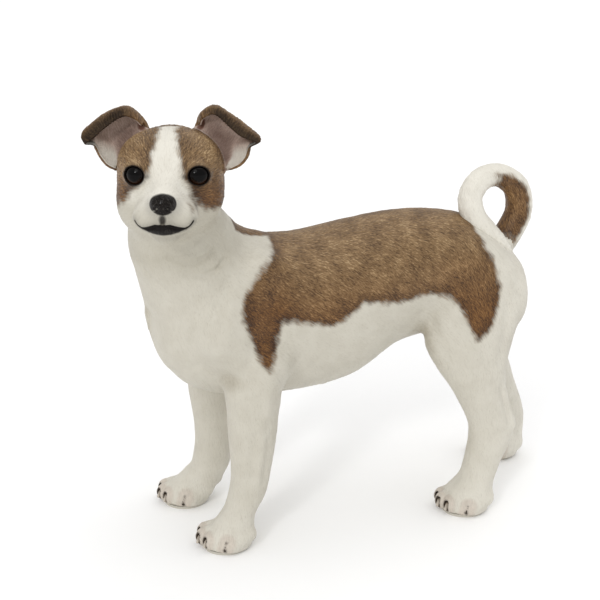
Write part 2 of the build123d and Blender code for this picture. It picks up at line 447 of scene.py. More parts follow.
def on_face(x, z):
    """The depth (y) at which the face's front surface lies at x, z."""
    near, far = np.full(len(x), -85.0), np.full(len(x), 5.0)
    for _ in range(24):
        middle = (near + far) / 2
        outside = bare_face(np.stack([x, middle, z], 1)) > 0
        near, far = np.where(outside, middle, near), np.where(outside, far, middle)
    return near


# The mouth's upper line and the lower lip's edge: half of each, from the middle outward (x, z).
MOUTH_LINE = np.array([(0, -19.4), (5, -19.0), (10, -20.6), (14.5, -21.4), (18, -19.6), (20.3, -16.6)])
LIP_LINE = np.array([(0, -25.4), (5, -25.0), (10, -23.6), (14.5, -21.8)])
MOUTH_WIDTHS = [1.7, 1.6, 1.3, 0.9, 0.6, 0.4]  # radius of the mouth's groove at each point of its line
MOUTH = np.column_stack(
    [MOUTH_LINE[:, 0], on_face(*MOUTH_LINE.T) + 0.3, MOUTH_LINE[:, 1], MOUTH_WIDTHS]
)


def skull(q):
    m = mirrored(q)
    d = smooth_min(bare_face(q), np.linalg.norm(m - EYE, axis=1) - (EYE_RADIUS + 1.5), 5)
    u, v, w = eye_frame(m)
    d = smooth_max(d, -smooth_max(eye_opening(u, v), 1.0 - w, 1.0), 1.4)
    d = smooth_min(d, nose(q), 1.4)
    d = smooth_max(d, -capsule(q, (NOSE[0], -65.0, -11.5), (0, -62.5, -17.5), 0.7, 0.9), 1.8)
    return smooth_max(d, -chain(m, MOUTH), 1.6)


# Ears in the head's frame, both drawn on the left side. Each row runs from the root to the crest,
# then round the rolled rim to its free edge; the rows go from the crown round the tip to the lobe.
EAR_ROWS = {
    1: [
        [(15, 18, 32), (16, 21, 36), (18, 21, 39), (19, 19, 40), (19, 17, 39)],
        [(17, 18, 32), (18, 23, 40), (20, 21, 46), (21, 17, 46.5), (21.5, 15, 44)],
        [(21, 17, 31), (24, 24, 42), (30, 19, 51.5), (31, 13, 51), (31, 10, 47.5)],
        [(25, 16, 29), (33, 23, 40), (41.5, 14, 46), (43, 7, 44), (42.5, 4.5, 39)],
        [(29, 14, 26), (42, 20, 34), (53.5, 8, 38.5), (53.5, 2, 37), (51.5, 0, 33)],
        [(32, 11, 22), (49, 16, 28.5), (63, 2, 31), (63, -1.5, 30.5), (61.5, -2.5, 29.5)],
        [(34, 9, 18), (46, 13, 23), (56.5, 2, 26.5), (56.5, 0.5, 26), (56, -0.5, 25.5)],
        [(35, 7, 14), (45, 10.5, 17), (54, 1.5, 18.5), (54, 0, 18), (53.5, -1, 18)],
        [(36, 5, 11), (42, 7.5, 12.5), (48.5, 2, 12.5), (48.5, 0.5, 12), (48.5, 0, 12.2)],
        [(37, 3, 8), (39, 4, 8.6), (42, 2.5, 9), (42.3, 1.5, 9), (42.5, 1, 9.2)],
    ],
    -1: [
        [(19, 19, 31), (21, 21, 35.5), (23.5, 21, 38.5), (24.5, 19, 39.5), (24.5, 17, 38.5)],
        [(21, 18, 31), (23, 23, 38.5), (27.5, 21, 45), (28.5, 17, 45.5), (28.5, 15, 43)],
        [(24.5, 17, 30), (29, 24, 40), (35.5, 19, 50.5), (36.5, 13, 50), (36.5, 9.5, 46)],
        [(28, 16, 29), (36, 23, 39), (48, 14, 47), (50, 5, 45), (48, 2, 39.5)],
        [(31, 14, 26), (44, 20, 34), (58, 8, 40), (59, 0, 38), (56.5, -2, 32.5)],
        [(33, 11, 22), (48, 16, 29), (62.5, 4, 35), (64.2, -2, 32.5), (62, -4, 28.5)],
        [(34, 9, 18), (46, 13, 23), (56.5, 3, 28.5), (57, 0.5, 27.3), (56, -1, 26.5)],
        [(35, 7, 14), (44, 10.5, 16.5), (52.5, 1.5, 18.5), (52.5, 0, 18), (52, -1, 18)],
        [(36, 5, 11), (42, 7.5, 11.5), (47.5, 2, 12), (47.5, 0.5, 11.5), (47.5, 0, 11.7)],
        [(37, 3, 8), (39, 4, 8.5), (42, 2.5, 8.4), (42.3, 1.5, 8.3), (42.5, 1, 8.6)],
    ],
}
EAR_ACROSS, EAR_OUT = 64, 44
EAR_KNOTS = [0.0, 0.42, 0.78, 0.9, 1.0]


def ear_sheet(rows):
    """Samples of an ear's middle surface: place, how far along (t) and out (s), back's normal."""
    rows = np.array(rows, float).reshape(len(rows), -1)
    t = np.linspace(0, 1, EAR_ACROSS)
    around = curve(t, np.linspace(0, 1, len(rows)), rows).reshape(EAR_ACROSS, 5, 3)
    s = np.linspace(0, 1, EAR_OUT)
    sheet = np.stack([curve(s, EAR_KNOTS, row) for row in around])
    grid_t, grid_s = np.meshgrid(t, s, indexing="ij")
    normal = np.cross(np.gradient(sheet, axis=0), np.gradient(sheet, axis=1))
    normal *= np.sign(normal[EAR_ACROSS // 2, EAR_OUT // 4, 1])
    flat = sheet.reshape(-1, 3), grid_t.ravel(), grid_s.ravel(), unit(normal).reshape(-1, 3)
    return np.column_stack(flat)


SHEETS = np.concatenate([ear_sheet(EAR_ROWS[side]) for side in (1, -1)])
SHEET_T, SHEET_S = SHEETS[:, 3], SHEETS[:, 4]


def ear_nearest(q):
    """Distance to the ear's sheet and the nearest sample's index, for head-frame points."""
    distance = np.empty(len(q))
    index = np.empty(len(q), int)
    m = mirrored(q)
    half = len(SHEETS) // 2
    for offset, chosen in ((0, q[:, 0] > 0), (half, q[:, 0] <= 0)):
        sheet = SHEETS[offset : offset + half, :3]
        square = (sheet**2).sum(1)
        places = np.flatnonzero(chosen)
        for start in range(0, len(places), 6000):
            some = places[start : start + 6000]
            part = m[some]
            d2 = square - 2 * part @ sheet.T
            best = d2.argmin(1)
            low = d2[np.arange(len(part)), best] + (part**2).sum(1)
            index[some] = best + offset
            distance[some] = np.sqrt(np.maximum(low, 0))
    return distance, index


def ear(q):
    distance, index = ear_nearest(q)
    return distance - (1.9 - 0.7 * SHEET_S[index])


def ears(q):
    out = within(ear, q, (2, -15, -4), (80, 38, 66))
    return np.minimum(out, within(ear, q, (-80, -15, -4), (-2, 38, 66)))


def head(points):
    q = head_local(points)
    d = within(skull, q, (-75, -100, -75), (75, 80, 75))
    return smooth_min(d, ears(q), 3.0)


def head_and_neck(points):
    return smooth_min(folded_body(points), head(points), 8)


# ---------- meshing
CORNERS = [(i, j, k) for i in (0, 1) for j in (0, 1) for k in (0, 1)]
BLOCK = 4


def surface_nets(values, origin, spacing):
    """Quads through the zero level of a grid of values, one vertex for each crossed cell."""
    inside = values < 0
    shape = np.array(values.shape) - 1

    def corner(grid, offset):
        return grid[tuple(slice(o, o + n) for o, n in zip(offset, shape))]

    count = sum(corner(inside, c).astype(np.int8) for c in CORNERS)
    cells = np.argwhere((count > 0) & (count < 8))
    index = np.full(shape, -1, np.int32)
    index[tuple(cells.T)] = np.arange(len(cells))
    total, hits = np.zeros((len(cells), 3)), np.zeros(len(cells))
    for a in range(8):
        for b in range(a + 1, 8):
            step = np.subtract(CORNERS[b], CORNERS[a])
            if np.abs(step).sum() != 1:
                continue
            va = values[tuple((cells + CORNERS[a]).T)]
            vb = values[tuple((cells + CORNERS[b]).T)]
            crossed = (va < 0) != (vb < 0)
            t = np.where(crossed, va / np.where(crossed, va - vb, 1), 0)
            total += crossed[:, None] * (np.array(CORNERS[a]) + t[:, None] * step)
            hits += crossed
    verts = origin + spacing * (cells + total / hits[:, None])
    quads = []
    for axis in range(3):
        side = [(1, 2), (2, 0), (0, 1)][axis]
        before = np.take(inside, range(0, inside.shape[axis] - 1), axis)
        after = np.take(inside, range(1, inside.shape[axis]), axis)
        edges = np.argwhere(before != after)
        for o in side:
            edges = edges[(edges[:, o] > 0) & (edges[:, o] < values.shape[o] - 1)]
        ring = []
        for m, n in ((0, 0), (1, 0), (1, 1), (0, 1)):
            cell = edges.copy()
            cell[:, side[0]] -= 1 - m
            cell[:, side[1]] -= 1 - n
            ring.append(index[tuple(cell.T)])
        ring = np.stack(ring, 1)
        flip = ~before[tuple(edges.T)]
        ring[flip] = ring[flip][:, ::-1]
        quads.append(ring)
    quads = np.concatenate(quads)
    return verts, quads[(quads >= 0).all(1)]


def gradient(function, points, step=0.3):
    total = np.zeros_like(points)
    for k in ((1, -1, -1), (-1, -1, 1), (-1, 1, -1), (1, 1, 1)):
        k = np.array(k, float)
        total += k * function(points + k * step)[:, None]
    return total / (4 * step)


def isosurface(function, low, high, spacing):
    """Quads of the function's zero level, finely sampled only near it, moved onto it."""
    low, high = np.array(low, float), np.array(high, float)
    wide = spacing * BLOCK
    count = np.ceil((high - low) / wide).astype(int) + 1
    axes = [low[i] + wide * np.arange(count[i]) for i in range(3)]
    coarse = function(np.stack(np.meshgrid(*axes, indexing="ij"), -1).reshape(-1, 3)).reshape(count)
    near = np.min(
        [np.abs(coarse[tuple(slice(o, o + n - 1) for o, n in zip(c, count))]) for c in CORNERS], axis=0
    )
    active = np.argwhere(near < wide * 1.25)
    fine = np.kron(coarse[:-1, :-1, :-1], np.ones((BLOCK,) * 3)).astype(np.float32)
    fine = np.pad(fine, ((0, 1),) * 3, mode="edge")
    needed = np.zeros(fine.shape, bool)
    steps = range(BLOCK + 1)
    for offset in np.stack(np.meshgrid(steps, steps, steps, indexing="ij"), -1).reshape(-1, 3):
        needed[tuple((active * BLOCK + offset).T)] = True
    cells = np.argwhere(needed)
    values = np.empty(len(cells), np.float32)
    for start in range(0, len(cells), 300000):
        part = slice(start, start + 300000)
        values[part] = function(low + spacing * cells[part])
    fine[tuple(cells.T)] = values
    verts, quads = surface_nets(fine, low, spacing)
    for _ in range(2):
        g = gradient(function, verts)
        pull = np.clip(function(verts) / np.maximum((g * g).sum(1), 0.3), -spacing / 2, spacing / 2)
        verts = verts - pull[:, None] * g
    return verts, quads


# ---------- hair direction and relief
def value_noise(points, seed):
    """Smooth noise on the unit lattice, from -1 to 1."""
    base = np.floor(points).astype(np.int64)
    t = points - base
    t = t * t * (3 - 2 * t)
    total = np.zeros(len(points))
    for corner in CORNERS:
        c = base + corner
        n = (c[:, 0] * 73856093) ^ (c[:, 1] * 19349663) ^ (c[:, 2] * 83492791) ^ (seed * 2654435)
        n = ((n & 0xFFFFFFFF) * 1274126177) & 0xFFFFFFFF
        n = ((n ^ (n >> 15)) * 1911520717) & 0xFFFFFFFF
        weight = np.prod(np.where(corner, t, 1 - t), axis=1)
        total += ((n ^ (n >> 13)) & 0xFFFF) / 32767.5 * weight
    return total - 1


def strokes(points, flow, width, length, seed=0):
    """Noise drawn out along the hair."""
    total = np.zeros(len(points))
    for k in range(-4, 5):
        total += value_noise((points + flow * (k * length / 8)) / width, seed)
    return total / 4


def hair_direction(points, normals):
    """Unit vectors along the coat: back from the nose, tailward, then down the limbs."""
    x, y, z = points.T
    low = smooth_step(160, 118, z)[:, None]
    front = smooth_step(-50, -92, y)[:, None]
    hip = smooth_step(90, 140, y)[:, None]
    steep = (0.15 + 0.6 * smooth_step(10, 45, np.abs(x)))[:, None]
    flow = np.array([0, 1.0, 0]) - steep * np.array([0, 0, 1.0])
    flow = flow * (1 - hip) + hip * np.array([0, 0.45, -1.0])
    flow = flow * (1 - front) + front * np.array([0, 0.35, -1.0])
    flow = flow * (1 - low) + low * np.array([0, 0.1, -1.0])
    q = head_local(points)
    back = unit(q - np.array([0, -58.0, -4.0]))
    back[:, 2] -= 0.15
    back = turned_back(back)
    above = smooth_step(-10, 12, (points - NECK_JOINT) @ NECK_AXIS)[:, None]
    flow = flow * (1 - above) + above * back
    return unit(flow - (flow * normals).sum(1)[:, None] * normals)


def turned_back(vectors):
    """Directions in the head's frame, in the dog's frame."""
    c, s = cos(radians(HEAD_TURN)), sin(radians(HEAD_TURN))
    x, y, z = vectors.T
    return np.stack([c * x - s * y, s * x + c * y, z], 1)


# ---------- colour fields
# Edge of the brown saddle on the dog's left side, as (y, z), open at the top.
SADDLE = [
    (-46, 330), (-44, 262), (-40, 252), (-36, 243), (-44, 236), (-52, 229), (-61, 221), (-69, 211),
    (-71, 196), (-63, 176), (-59, 163), (-52, 153), (-46, 165), (-41, 179), (-37, 188), (-24, 187), (5, 180),
    (18, 188), (30, 196), (62, 192), (89, 195), (105, 192), (116, 180), (121, 166), (127, 155),
    (139, 162), (146, 175), (150, 194), (146, 218), (141, 229), (137, 240), (134, 262), (134, 330),
]
NAPE_HEIGHTS = [240, 250, 257, 264, 290]
NAPE_NEAR = [100, 84, 76, 96, 96]  # degrees round the neck from +X to the brown nape's near edge
NAPE_FAR = [110, 124, 170, 215, 240]
BLAZE_LEFT = [
    (-90, 80), (-5, 80), (-7.5, 42), (-8.5, 31), (-10, 23), (-11, 15), (-18, 6.5), (-27, -3),
    (-33, -10.5), (-39, -14.5), (-60, -18), (-90, -18),
]
BLAZE_RIGHT = [
    (90, 80), (-1, 80), (2.5, 42), (7, 31), (9, 23), (10.7, 15), (14.6, 6.2), (18.4, -3),
    (21.5, -9), (24.5, -12), (29, -14.5), (36, -17), (60, -19), (90, -19),
]


def body_brown(points):
    x, y, z = points.T
    wobble = 5 * value_noise(points / 22, 5) * (x < 0)
    saddle = polygon_distance(y + wobble, z + wobble, SADDLE)
    rows = np.array(NECK, float)
    centre = curve(z, rows[:, 2], rows[:, :2])
    angle = np.degrees(np.arctan2(y - centre[:, 1], x - centre[:, 0])) % 360
    reach = np.hypot(y - centre[:, 1], x - centre[:, 0]) * pi / 180
    nape = np.minimum(
        angle - np.interp(z, NAPE_HEIGHTS, NAPE_NEAR), np.interp(z, NAPE_HEIGHTS, NAPE_FAR) - angle
    )
    nape = np.minimum(nape * reach, z - 243)
    return np.maximum(saddle, np.where(y < -20, nape, -60))


def head_brown(q):
    x, y, z = q.T
    face = np.maximum(polygon_distance(x, z, BLAZE_LEFT), polygon_distance(x, z, BLAZE_RIGHT))
    back = np.maximum(np.minimum(y - 2, z + 18), np.minimum(y - 20, 30 - np.abs(x)))
    return np.maximum(face, back)


def brown_field(points):
    above = smooth_step(-8, 6, (points - NECK_JOINT) @ NECK_AXIS)
    return body_brown(points) * (1 - above) + head_brown(head_local(points)) * above


def tail_brown(points):
    """Brown on the inside of the tail's rising half."""
    step = tail_step(points)
    centre = curve(step, np.arange(len(TAIL_LINE)), TAIL_LINE)
    out = unit(centre[:, :3] - np.array([0, 163, 250.0]))
    outward = ((points - centre[:, :3]) * out).sum(1)
    return np.minimum(0.25 * centre[:, 3] - outward, 2.2 * np.minimum(step - 4.5, 18.0 - step))


def body_painted_light(points, brown):
    """Painted light from 0 (painted shade) to 1 (lit): the coat is greyest on the neck and under the belly.
    """
    _, y, z = points.T
    # Painted shade on the neck's front. The white is painted lighter towards the rump and near the ground.
    # The brown is painted lighter on top and darker at the front and on the rear flank.
    shaded = smooth_step(-55, -85, y) * np.exp(-(((z - 246) / 16) ** 2))
    white = 0.3 + 0.4 * smooth_step(105, 185, y) + 0.25 * smooth_step(50, 15, z) - 0.35 * shaded
    tan = smooth_step(172, 236, z) * (1 - 0.4 * smooth_step(75, 120, y) * smooth_step(232, 215, z))
    tan = tan - 0.4 * smooth_step(-15, -45, y)
    return np.clip(white + (tan - white) * smooth_step(-3, 3, brown), 0, 1)


def head_painted_light(q, brown):
    # Painted light: the head is painted lighter higher up and darker on the cheeks and jaw.
    white = 0.05 + 0.9 * smooth_step(-17, 3, q[:, 2])
    tan = 0.95 * smooth_step(-8, 20, q[:, 2])
    return white + (tan - white) * smooth_step(-3, 3, brown)


def tail_painted_light(brown):
    # Painted light on the tail: full on its white, low on its brown.
    return np.where(brown > 0, 0.3, 1.0)


def band(distance, width, soft):
    return smooth_step(width + soft, width, distance)


def face_masks(q):
    """Dark paint, grey round the lips, painted shade under the nose and the lower lip, and wet gloss on the
    head.
    """
    m = mirrored(q)
    u, v, w = eye_frame(m)
    rim = np.where(w > -1, np.abs(eye_opening(u, v) - 0.1), 9)
    dark = np.maximum(band(rim, 0.5, 1.1), 0.45 * band(rim, 0.5, 3.2))
    corners = np.hypot((np.abs(u) - 8.2) / 1.8, v + 0.5)
    dark = np.maximum(dark, 0.6 * band(np.where(w > -5, corners, 9), 0.6, 2.6))
    lips = chain(m, MOUTH)
    dark = np.maximum(dark, band(lips, 0.2, 0.9))
    upper = np.interp(m[:, 0], *MOUTH_LINE.T)
    lower = np.interp(m[:, 0], *LIP_LINE.T)
    inside = np.minimum(np.minimum(upper - q[:, 2], q[:, 2] - lower), 15.5 - m[:, 0])
    dark = np.maximum(dark, np.where(q[:, 1] < -30, smooth_step(-1.4, 0.4, inside), 0))
    leather = np.where(q[:, 1] < -50, band(nose(q), 0.3, 0.8), 0)
    smudge = 0.92 * band(np.hypot((q[:, 0] - 0.2) / 3.0, (q[:, 2] + 13.5) / 5.0), 0.4, 1.0)
    dark = np.maximum(np.maximum(dark, leather), smudge * (q[:, 1] < -50))
    # Grey round the lips, and painted shade under the nose.
    lip_grey_and_nose_shade = 0.36 * np.exp(-((np.maximum(lips, 0) / 3.4) ** 2))
    lip_grey_and_nose_shade = lip_grey_and_nose_shade + 0.3 * np.exp(-((np.maximum(nose(q), 0) / 4.5) ** 2)) * smooth_step(4, -4, q[:, 2])
    # Painted shadow under the lower lip.
    below = 0.2 * np.exp(-(((q[:, 2] + 28.5) / 3.5) ** 2)) * smooth_step(17, 9, m[:, 0])
    return np.maximum(dark, (lip_grey_and_nose_shade + below) * (q[:, 1] < -25)), leather


# ---------- pieces
def clip(rows, tris, field, split):
    """The part where field is above zero, closed with a fan over each hole that the cut leaves.
    Vertex rows are interpolated to the cut line. The triangles before split are the surface and
    the rest are fans of earlier cuts. Returns rows, surface triangles and fan triangles."""
    up = field > 0
    count = up[tris].sum(1)
    is_fan = np.arange(len(tris)) >= split
    kept, kept_fan = [tris[count == 3]], [is_fan[count == 3]]
    crossed = (count == 1) | (count == 2)
    cut_tris, cut_fan = tris[crossed], is_fan[crossed]
    edges = np.sort(np.concatenate([cut_tris[:, [0, 1]], cut_tris[:, [1, 2]], cut_tris[:, [2, 0]]]), axis=1)
    edges = np.unique(edges[up[edges[:, 0]] != up[edges[:, 1]]], axis=0)
    a, b = edges.T
    t = (field[a] / (field[a] - field[b]))[:, None]
    cuts = rows[a] * (1 - t) + rows[b] * t
    keys = a.astype(np.int64) * len(rows) + b

    def on_edge(p, q):
        low, high = np.minimum(p, q), np.maximum(p, q)
        return len(rows) + np.searchsorted(keys, low.astype(np.int64) * len(rows) + high)

    segments = []
    for lone in (True, False):
        chosen = up[cut_tris].sum(1) == (1 if lone else 2)
        group = cut_tris[chosen]
        first = (up[group] == lone).argmax(1)
        v0, v1, v2 = (group[np.arange(len(group)), (first + k) % 3] for k in range(3))
        e01, e20 = on_edge(v0, v1), on_edge(v2, v0)
        if lone:
            kept.append(np.stack([v0, e01, e20], 1))
            kept_fan.append(cut_fan[chosen])
            segments.append(np.stack([e20, e01], 1))
        else:
            kept += [np.stack([e01, v1, v2], 1), np.stack([e01, v2, e20], 1)]
            kept_fan += [cut_fan[chosen]] * 2
            segments.append(np.stack([e01, e20], 1))
    segments = np.concatenate(segments)
    rows = np.concatenate([rows, cuts])
    kept, kept_fan = np.concatenate(kept), np.concatenate(kept_fan)
    following = dict(segments.tolist())
    fans, centres = [], []
    while following:
        start, at = following.popitem()
        loop = [(start, at)]
        while at in following:
            loop.append((at, following.pop(at)))
            at = loop[-1][1]
        if len(loop) > 8:
            loop = np.array(loop)
            centre = len(rows) + len(centres)
            centres.append(rows[loop[:, 0]].mean(0))
            fans.append(np.concatenate([loop, np.full((len(loop), 1), centre)], 1))
    if centres:
        rows = np.concatenate([rows, np.array(centres)])
    surface = kept[~kept_fan]
    tris = np.concatenate([surface, kept[kept_fan], *fans])
    used, inverse = np.unique(tris, return_inverse=True)
    tris = inverse.reshape(-1, 3)
    return rows[used], tris[: len(surface)], tris[len(surface) :]


# The fifth layer is painted light (lighter where lit, darker in shade). The sixth is painted shade in creases
# and hollows.
LAYERS = ["brown", "dark", "pink", "wet", "pale", "cavity"]


def add_piece(name, rows, surface, fans, material, slot, stands_for):
    """rows: position, normal, hair direction, then the values named in LAYERS."""
    tris = np.concatenate([surface, fans])
    mesh = bpy.data.meshes.new(name)
    mesh.vertices.add(len(rows))
    mesh.loops.add(tris.size)
    mesh.polygons.add(len(tris))
    mesh.vertices.foreach_set("co", ((rows[:, :3] + FRAME_SHIFT) / 1000).astype(np.float32).ravel())
    mesh.loops.foreach_set("vertex_index", tris.astype(np.int32).ravel())
    mesh.polygons.foreach_set("loop_start", np.arange(0, tris.size, 3, dtype=np.int32))
    mesh.update(calc_edges=True)
    loop_normals = rows[:, 3:6][tris]
    if len(fans):
        corners = rows[:, :3][fans]
        flat = unit(np.cross(corners[:, 1] - corners[:, 0], corners[:, 2] - corners[:, 0]))
        loop_normals[len(surface) :] = flat[:, None]
    mesh.polygons.foreach_set("use_smooth", np.ones(len(tris), bool))
    mesh.normals_split_custom_set(unit(loop_normals.reshape(-1, 3)).tolist())
    hair = mesh.attributes.new("hair", "FLOAT_VECTOR", "POINT")
    hair.data.foreach_set("vector", unit(rows[:, 6:9]).astype(np.float32).ravel())
    for column_index, label in enumerate(LAYERS, 9):
        layer = mesh.attributes.new(label, "FLOAT", "POINT")
        layer.data.foreach_set("value", rows[:, column_index].astype(np.float32))
    mesh.materials.append(material)
    piece = bpy.data.objects.new(name, mesh)
    bpy.context.scene.collection.objects.link(piece)
    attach(piece, "root")
    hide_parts(stands_for)
    return piece


def sculpt(function, low, high, spacing):
    """Mesh a region of the sculpt: places, normals, hair directions, hollowness for painted shade in creases,
    and triangles.
    """
    verts, quads = isosurface(function, low, high, spacing * COARSE)
    normals = unit(gradient(function, verts))
    # How hollow the surface is nearby. The coat is painted darker there as shade in creases and hollows.
    hollow_shade = np.clip((2.5 - function(verts + 2.5 * normals)) / 2.5, -0.4, 1.0)
    hair = hair_direction(verts, normals)
    return verts, normals, hair, hollow_shade, np.concatenate([quads[:, [0, 1, 2]], quads[:, [0, 2, 3]]])


def with_relief(verts, normals, hair, bald, width, depth):
    """Move the surface by combed strokes and turn its normals with them."""

    def height(points):
        return depth * (strokes(points, hair, width, 7.0) + 0.5 * strokes(points, hair, width * 0.55, 4.0, 3))

    slope = gradient(height, verts) * (1 - bald)[:, None]
    slope -= (slope * normals).sum(1)[:, None] * normals
    moved = verts + normals * ((1 - bald) * height(verts))[:, None]
    return moved, unit(normals - slope)


# ---------- materials
def srgb(*levels):
    """Linear colour from three levels of 0 to 255."""
    linear = [((c / 255 + 0.055) / 1.055) ** 2.4 if c > 10 else c / 255 / 12.92 for c in levels]
    return (*linear, 1.0)


class Nodes:
    """Builds a material's node tree."""

    def __init__(self, name):
        self.material = bpy.data.materials.new(name)
        self.material.use_nodes = True
        self.tree = self.material.node_tree
        self.tree.nodes.clear()

    def add(self, kind, inputs=(), **settings):
        node = self.tree.nodes.new(kind)
        for key, value in settings.items():
            setattr(node, key, value)
        pairs = inputs.items() if isinstance(inputs, dict) else enumerate(inputs)
        for key, value in pairs:
            if isinstance(value, bpy.types.NodeSocket):
                self.tree.links.new(value, node.inputs[key])
            elif value is not None:
                node.inputs[key].default_value = value
        return node

    def math(self, operation, *values, clamp=False):
        return self.add("ShaderNodeMath", values, operation=operation, use_clamp=clamp).outputs[0]

    def swing(self, value, middle, size):
        """How far a value lies from the middle, times size."""
        return self.math("MULTIPLY", self.math("SUBTRACT", value, middle), size)

    def vector(self, operation, *values):
        return self.add("ShaderNodeVectorMath", values, operation=operation).outputs[0]

    def scaled(self, vector, factor):
        node = self.add("ShaderNodeVectorMath", {0: vector, "Scale": factor}, operation="SCALE")
        return node.outputs[0]

    def ramp(self, value, low, high, to_low=0.0, to_high=1.0):
        inputs = (value, low, high, to_low, to_high)
        return self.add("ShaderNodeMapRange", inputs, interpolation_type="SMOOTHSTEP").outputs[0]

    def noise(self, vector, scale, detail=0.0):
        inputs = {"Vector": vector, "Scale": scale, "Detail": detail}
        return self.add("ShaderNodeTexNoise", inputs).outputs[0]

    def mix(self, factor, a, b, blend="MIX"):
        node = self.add("ShaderNodeMix", data_type="RGBA", blend_type=blend)
        for key, value in ((0, factor), (6, a), (7, b)):
            if isinstance(value, bpy.types.NodeSocket):
                self.tree.links.new(value, node.inputs[key])
            else:
                node.inputs[key].default_value = value
        return node.outputs[2]

    def attribute(self, name, output="Fac"):
        return self.add("ShaderNodeAttribute", attribute_name=name).outputs[output]

    def millimetres(self):
        return self.scaled(self.add("ShaderNodeTexCoord").outputs["Object"], 1000.0)

    def combed(self, position, hair, width, length, taps=3):
        """Noise drawn out along the hair."""
        total = None
        for k in range(-taps, taps + 1):
            along = self.scaled(hair, k * length / (2 * taps))
            value = self.noise(self.vector("ADD", position, along), 1 / width)
            total = value if total is None else self.math("ADD", total, value)
        return self.math("MULTIPLY", total, 1 / (2 * taps + 1))

    def finish(self, color, roughness, bump=None, strength=0.3, distance=0.0002, **extra):
        inputs = {"Base Color": color, "Roughness": roughness}
        if bump is not None:
            relief = {"Strength": strength, "Distance": distance, "Height": bump}
            inputs["Normal"] = self.add("ShaderNodeBump", relief).outputs[0]
        inputs.update({key.replace("_", " "): value for key, value in extra.items()})
        shader = self.add("ShaderNodeBsdfPrincipled", inputs)
        self.add("ShaderNodeOutputMaterial", [shader.outputs[0]])
        return self.material


def painted_coat():
    n = Nodes("painted_coat")
    at = n.millimetres()
    hair = n.attribute("hair", "Vector")
    brown_mm, dark, pink, wet, pale, cavity = (n.attribute(label) for label in LAYERS)
    wide = n.combed(at, hair, 1.1, 3.6)
    fine = n.combed(at, hair, 0.55, 1.6)
    blotch = n.noise(at, 1 / 14.0, 2.0)
    tone = n.math("ADD", n.swing(wide, 0.5, 1.5), 0.5)
    tone = n.math("ADD", tone, n.swing(fine, 0.5, 3.0))
    # Painted shade: the brown is darker in creases and hollows.
    tone = n.math("SUBTRACT", tone, n.math("MULTIPLY", cavity, 0.5))
    drift = n.swing(blotch, 0.52, 1.0)
    brown_tone = n.math("ADD", tone, n.math("ADD", n.ramp(brown_mm, 0.0, 12.0, -0.25, 0.0), drift))
    # Shaded and lit copies of each brown, mixed by the painted light.
    deep = n.mix(pale, srgb(52, 30, 12), srgb(76, 54, 30))
    plain = n.mix(pale, srgb(98, 65, 30), srgb(126, 99, 66))
    light = n.mix(pale, srgb(140, 101, 57), srgb(180, 154, 116))
    low = n.mix(n.ramp(brown_tone, -0.1, 0.55), deep, plain)
    brown = n.mix(n.ramp(brown_tone, 0.45, 1.2), low, light)
    # Grey in the white: darker in the hair's grooves, random blotches, and painted shade in creases and
    # hollows.
    groove = n.math("MULTIPLY", n.ramp(tone, 0.6, -0.5), 0.28)
    groove = n.math("ADD", groove, n.math("MULTIPLY", n.ramp(blotch, 0.35, 0.7), 0.1))
    groove = n.math("ADD", groove, n.ramp(cavity, 0.12, 0.9, 0.0, 0.65), clamp=True)
    # Shaded and lit copies of the white, mixed by the painted light.
    clean = n.mix(pale, srgb(186, 181, 167), srgb(224, 220, 209))
    white = n.mix(groove, clean, srgb(140, 130, 110))
    fuzz = n.swing(wide, 0.5, 7.0)
    fuzz = n.math("ADD", fuzz, n.swing(n.noise(at, 0.16), 0.5, 5.0))
    edge = n.ramp(n.math("ADD", brown_mm, fuzz), -3.2, 3.2)
    color = n.mix(edge, white, brown)
    # Pink inside the ears, painted darker in their hollows as shade.
    rose = n.mix(n.ramp(cavity, 0.0, 0.6), srgb(192, 168, 154), srgb(112, 72, 56))
    rose = n.mix(n.math("MULTIPLY", n.ramp(tone, 0.9, 0.1), 0.4), rose, srgb(100, 80, 70))
    color = n.mix(pink, color, rose)
    smoky = n.math("MULTIPLY", dark, n.ramp(tone, 1.7, 0.4, 0.85, 1.0), clamp=True)
    ink = n.mix(n.math("MULTIPLY", pink, 0.8), srgb(20, 16, 14), srgb(74, 44, 34))
    color = n.mix(smoky, color, ink)
    rough = n.ramp(wet, 0.0, 1.0, 0.5, 0.12)
    relief = n.math("ADD", n.math("MULTIPLY", wide, 0.7), fine)
    relief = n.math("MULTIPLY", relief, n.math("SUBTRACT", 1.0, wet))
    gloss = n.ramp(n.math("MAXIMUM", wet, dark), 0.0, 1.0, 0.32, 0.12)
    return n.finish(color, rough, relief, 0.55, 0.0007, Specular_IOR_Level=gloss)


def eye_material(name, centre, gaze):
    """Black pupil in a very dark brown iris with painted light: near-black at the top, lighter towards its
    lower edge, under clear gloss.
    """
    n = Nodes(name)
    off = n.vector("SUBTRACT", n.millimetres(), tuple(centre))
    along = n.add("ShaderNodeVectorMath", (off, tuple(gaze)), operation="DOT_PRODUCT").outputs["Value"]
    turn = n.math("DIVIDE", along, EYE_RADIUS)
    speckle = n.noise(off, 1.4, 3.0)
    iris = n.mix(speckle, srgb(30, 17, 9), srgb(56, 31, 15))
    # Painted light: the iris is near-black above its middle and brown towards its lower edge.
    drop = n.add("ShaderNodeSeparateXYZ", (off,)).outputs[2]
    iris = n.mix(n.ramp(drop, 0.0, -6.0, 0.0, 0.8), srgb(10, 7, 6), iris)
    color = n.mix(n.ramp(turn, 0.84, 0.9), iris, srgb(5, 4, 4))
    color = n.mix(n.ramp(turn, 0.6, 0.5), color, srgb(8, 6, 5))
    return n.finish(color, n.ramp(speckle, 0, 1, 0.03, 0.06), Specular_IOR_Level=0.11)


